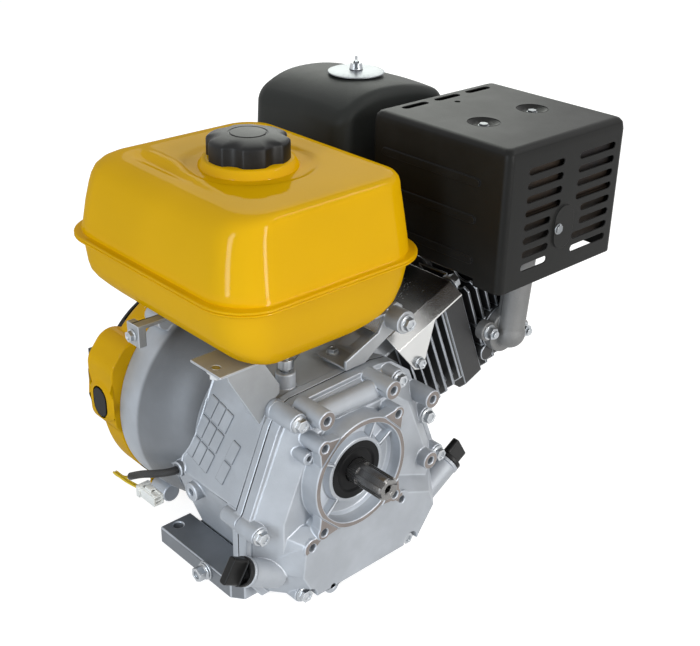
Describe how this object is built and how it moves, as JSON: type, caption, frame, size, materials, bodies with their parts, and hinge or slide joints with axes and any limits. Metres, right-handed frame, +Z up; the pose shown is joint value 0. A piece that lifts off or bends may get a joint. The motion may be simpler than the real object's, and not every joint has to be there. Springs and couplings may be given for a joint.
{
  "type": "single-cylinder petrol engine",
  "caption": "Air-cooled overhead-valve engine with leaning cylinder, splined output shaft, yellow tank, black muffler guard, recoil starter and foot-mounted crankcase",
  "frame": {"origin": "centre of the four foot holes, on the base plane", "axes": "-Y along the output shaft out of the engine, +X toward the cylinder head, +Z up"},
  "size_m": [0.4752, 0.3664, 0.4605],
  "materials": {
    "cast_alloy": "sand-blasted casting with silver paint",
    "head_alloy": "dark casting with light fin edges",
    "gasket": "pressed fibre sheet",
    "zinc_steel": "zinc plated",
    "machined_steel": "turned and ground",
    "piston_alloy": "machined",
    "ring_iron": "ground",
    "iron": "rough cast",
    "seal_rubber": "moulded",
    "plug_steel": "plated shell with a pale insulator",
    "black_sheet": "black paint, satin",
    "bright_sheet": "bright rolled sheet",
    "muffler_sheet": "heat-stained sheet",
    "tank_yellow": "yellow gloss paint",
    "cowl_yellow": "yellow gloss paint",
    "black_plastic": "moulded black",
    "red_plastic": "moulded red",
    "carb_alloy": "die cast",
    "filter_paper": "pleated paper and foam",
    "sleeve": "woven sleeve",
    "wire_yellow": "insulated wire",
    "connector_white": "moulded nylon"
  },
  "bodies": {
    "block": {"crankcase": "cast_alloy", "side_cover": "cast_alloy", "cover_gasket": "gasket", "m8_flange_bolts": "zinc_steel", "m6_flange_bolts": "zinc_steel", "cylinder_head": "head_alloy", "head_bolts": "zinc_steel", "rocker_cover": "black_sheet", "spark_plug": "plug_steel", "main_bearings": "machined_steel", "shaft_seals": "seal_rubber", "fan_cover": "cowl_yellow", "fan_cover_plug": "seal_rubber", "stop_switch": "black_plastic", "recoil_housing": "black_sheet", "tank_upper": "tank_yellow", "tank_lower": "tank_yellow", "tank_bracket_left": "bright_sheet", "tank_bracket_right": "bright_sheet", "tank_bracket_rear": "bright_sheet", "muffler_guard": "black_sheet", "guard_screws": "zinc_steel", "muffler": "muffler_sheet", "exhaust_elbow": "iron", "exhaust_nuts": "zinc_steel", "shroud_plate": "bright_sheet", "carburettor": "carb_alloy", "control_plate": "bright_sheet", "air_cleaner_cover": "black_plastic", "air_cleaner_case": "black_sheet", "air_filter": "filter_paper", "cover_disc": "bright_sheet", "drain_plug": "zinc_steel", "charge_lead": "sleeve", "lead_wires": "wire_yellow", "lead_connector": "connector_white"},
    "crank": {"crankshaft": "machined_steel", "crank_gear": "machined_steel", "flywheel": "iron", "cooling_fan": "black_plastic", "starter_cup": "bright_sheet", "flywheel_nut": "zinc_steel"},
    "cam": {"camshaft": "machined_steel"},
    "piston_rod": {"piston": "piston_alloy", "piston_rings": "ring_iron", "wrist_pin": "machined_steel", "connecting_rod": "machined_steel", "crankpin": "machined_steel"},
    "reel": {"recoil_reel": "black_plastic"},
    "handle": {"recoil_handle": "black_plastic"},
    "tank_cap": {"fuel_cap": "black_plastic"},
    "cap_left": {"oil_cap_left": "black_plastic"},
    "cap_right": {"oil_cap_right": "black_plastic"},
    "nut": {"wing_nut": "zinc_steel"},
    "throttle": {"throttle_lever": "black_sheet"},
    "choke": {"choke_lever": "black_plastic"},
    "fuel_valve": {"fuel_valve_lever": "black_plastic"},
    "governor": {"governor_arm": "black_sheet"},
    "switch": {"switch_rocker": "red_plastic"}
  },
  "joints": [
    {"name": "crank_spin", "type": "hinge", "parent": "block", "child": "crank", "pos_m": [0, 0, 0.132], "axis": [0, 1, 0], "continuous": true},
    {"name": "cam_spin", "type": "hinge", "parent": "block", "child": "cam", "pos_m": [0.0632, 0, 0.07897], "axis": [0, 1, 0], "continuous": true},
    {"name": "piston_stroke", "type": "slide", "parent": "block", "child": "piston_rod", "axis": [0.9272, 0, 0.3746], "range_m": [-0.064, 0]},
    {"name": "recoil_pull", "type": "slide", "parent": "block", "child": "handle", "axis": [0.9781, 0, 0.2079], "range_m": [0, 0.5], "stiffness_N_per_m": 20, "springref_m": -0.3},
    {"name": "reel_spin", "type": "hinge", "parent": "block", "child": "reel", "pos_m": [0, 0, 0.132], "axis": [0, 1, 0], "range_deg": [0, 480]},
    {"name": "fuel_cap_turn", "type": "hinge", "parent": "block", "child": "tank_cap", "pos_m": [-0.013, 0.026, 0.415], "axis": [0, 0, 1], "range_deg": [0, 90]},
    {"name": "oil_cap_left_turn", "type": "hinge", "parent": "block", "child": "cap_left", "pos_m": [-0.124, -0.097, 0.061], "axis": [-0.8572, 0, 0.515], "range_deg": [0, 360]},
    {"name": "oil_cap_right_turn", "type": "hinge", "parent": "block", "child": "cap_right", "pos_m": [0.157, -0.097, 0.063], "axis": [0.8572, 0, 0.515], "range_deg": [0, 360]},
    {"name": "wing_nut_turn", "type": "hinge", "parent": "block", "child": "nut", "pos_m": [0.2035, 0.11132, 0.45], "axis": [0, 0, 1], "range_deg": [0, 360]},
    {"name": "throttle_turn", "type": "hinge", "parent": "block", "child": "throttle", "pos_m": [0.124, 0.0666, 0.272], "axis": [0, 1, 0], "range_deg": [-25, 25]},
    {"name": "choke_turn", "type": "hinge", "parent": "block", "child": "choke", "pos_m": [0.2546, 0.1099, 0.2281], "axis": [1, 0, 0], "range_deg": [0, 70]},
    {"name": "fuel_valve_turn", "type": "hinge", "parent": "block", "child": "fuel_valve", "pos_m": [0.2566, 0.092, 0.1781], "axis": [1, 0, 0], "range_deg": [-90, 0]},
    {"name": "governor_turn", "type": "hinge", "parent": "block", "child": "governor", "pos_m": [-0.033, -0.05, 0.238], "axis": [0, 0, 1], "range_deg": [-12, 12]},
    {"name": "switch_rock", "type": "hinge", "parent": "block", "child": "switch", "pos_m": [-0.11, 0.164, 0.178], "axis": [1, 0, 0], "range_deg": [0, 18]}
  ],
  "couplings": [
    {"joint": "cam_spin", "follows": "crank_spin", "ratio": -0.5},
    {"joint": "reel_spin", "follows": "recoil_pull", "rad_per_m": 16.667}
  ]
}
